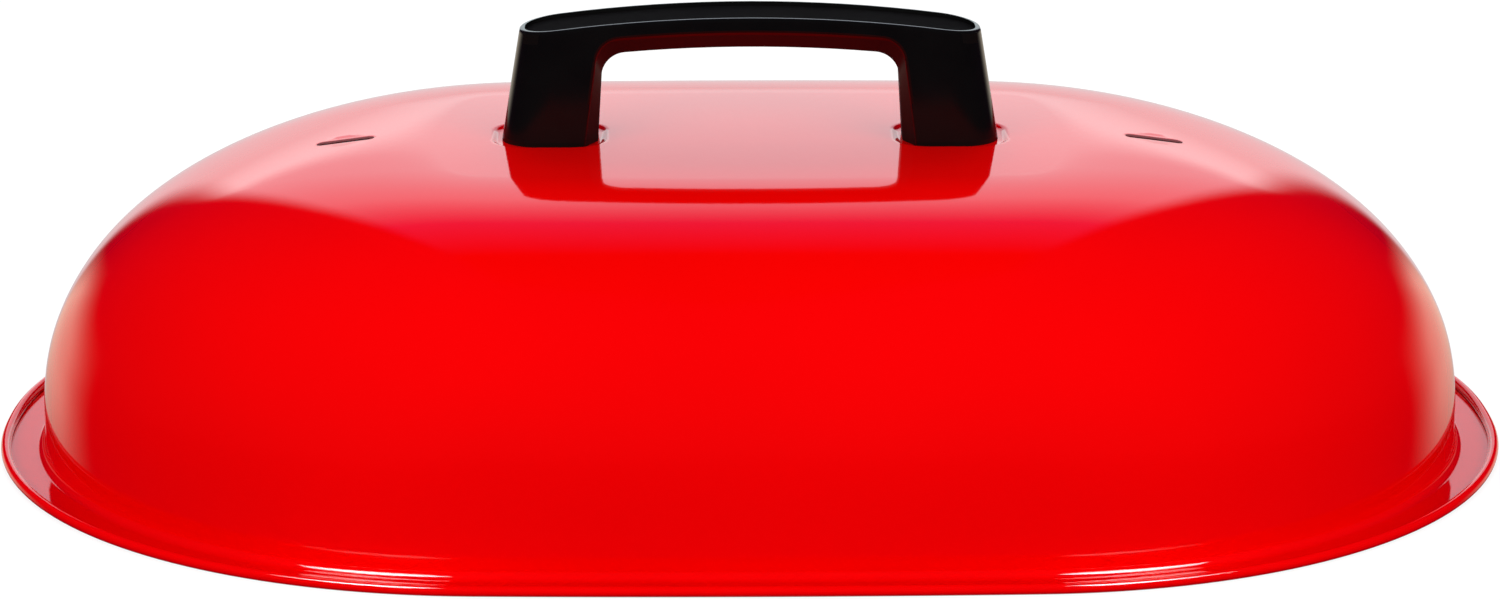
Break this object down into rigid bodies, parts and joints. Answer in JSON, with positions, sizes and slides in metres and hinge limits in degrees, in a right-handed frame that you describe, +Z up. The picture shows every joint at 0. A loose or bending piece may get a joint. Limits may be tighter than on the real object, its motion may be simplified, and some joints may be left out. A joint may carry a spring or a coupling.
{
  "type": "roaster oven lid",
  "caption": "Domed oval steel lid with a rolled rim, two steam slots and a moulded bridge handle screwed on through the top.",
  "frame": {"origin": "middle of the lid in the plane that the underside of its rim rests on", "axes": "+X along the lid's length and its handle, +Y to the back, +Z up; the front faces -Y"},
  "size_m": [0.52, 0.364, 0.1478],
  "materials": {
    "enamel": "high gloss stoved enamel on drawn steel",
    "handle_moulding": "satin black phenolic moulding",
    "insert_brass": "machined",
    "plated_steel": "bright zinc plate"
  },
  "bodies": {
    "root": {"lid_shell": "enamel", "handle": "handle_moulding", "handle_insert_left": "insert_brass", "handle_insert_right": "insert_brass", "flat_washer_left": "plated_steel", "flat_washer_right": "plated_steel", "lock_washer_left": "plated_steel", "lock_washer_right": "plated_steel", "handle_screw_left": "plated_steel", "handle_screw_right": "plated_steel"}
  },
  "joints": []
}
